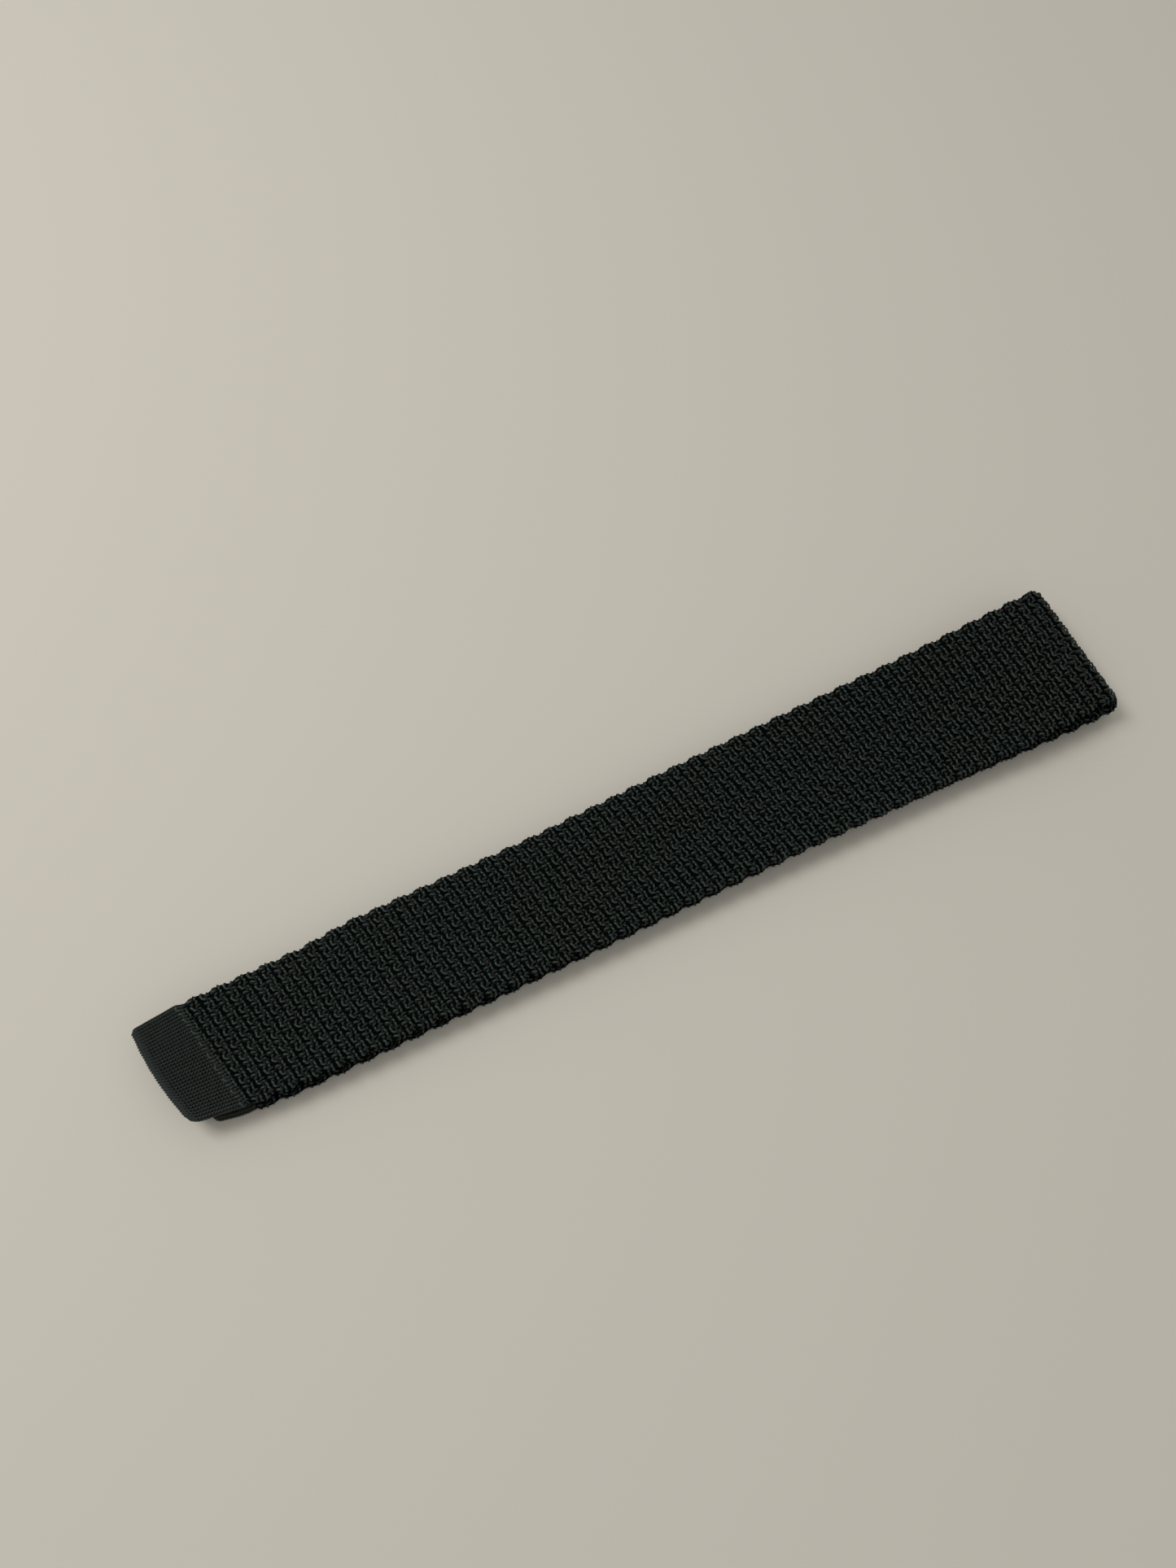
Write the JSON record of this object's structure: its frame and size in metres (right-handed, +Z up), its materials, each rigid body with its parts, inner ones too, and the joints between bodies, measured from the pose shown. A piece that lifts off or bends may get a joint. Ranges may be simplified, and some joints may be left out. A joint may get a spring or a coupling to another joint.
{
  "type": "knitted necktie",
  "caption": "Square-ended knitted necktie, folded in zigzag into flat layers that unfold to a full-length tie.",
  "frame": {"origin": "centre of the folded tie's bounding box, at its bottom, on the surface that it lies on", "axes": "+X along the tie, from its two hems to the first fold; +Y across it; +Z up"},
  "size_m": [0.3778, 0.056, 0.0137],
  "materials": {
    "knit": "coarse silky knit, near-black bottle green, soft sheen",
    "hem_band": "fine plain knit, near-black bottle green",
    "thread": "sewing thread, near-black green",
    "neck_tape": "plain woven tape, dark grey-green",
    "label": "woven satin label, off-white, blank"
  },
  "bodies": {
    "tail_lower": {"tail_lower_tube": "knit", "tail_hem_band": "hem_band", "tail_hem_thread": "thread", "fold_c_bend": "knit"},
    "tail_upper": {"tail_upper_tube": "knit", "neck_tape_tail_side": "neck_tape", "neck_tape_thread_tail_side": "thread", "fold_b_bend": "knit"},
    "blade_upper": {"blade_upper_tube": "knit", "neck_tape_blade_side": "neck_tape", "neck_tape_thread_blade_side": "thread", "fold_a_bend": "knit"},
    "blade_lower": {"blade_lower_tube": "knit", "blade_hem_band": "hem_band", "blade_hem_thread": "thread", "keeper_loop": "hem_band", "keeper_bar_tack_near": "thread", "keeper_bar_tack_far": "thread", "care_label": "label", "care_label_thread_hem_end": "thread", "care_label_thread_fold_end": "thread"}
  },
  "joints": [
    {"name": "unfold_c", "type": "hinge", "parent": "tail_lower", "child": "tail_upper", "pos_m": [0.18627, -0.00295, 0.00245], "axis": [0, 1, 0], "range_deg": [0, 180], "deforming": ["fold_c_bend"]},
    {"name": "unfold_b", "type": "hinge", "parent": "tail_upper", "child": "blade_upper", "pos_m": [-0.17913, -0.00295, 0.00505], "axis": [0, -1, 0], "range_deg": [0, 180], "deforming": ["fold_b_bend"]},
    {"name": "unfold_a", "type": "hinge", "parent": "blade_upper", "child": "blade_lower", "pos_m": [0.18347, -0.00295, 0.00945], "axis": [0, 1, 0], "range_deg": [0, 180], "deforming": ["fold_a_bend"]}
  ]
}
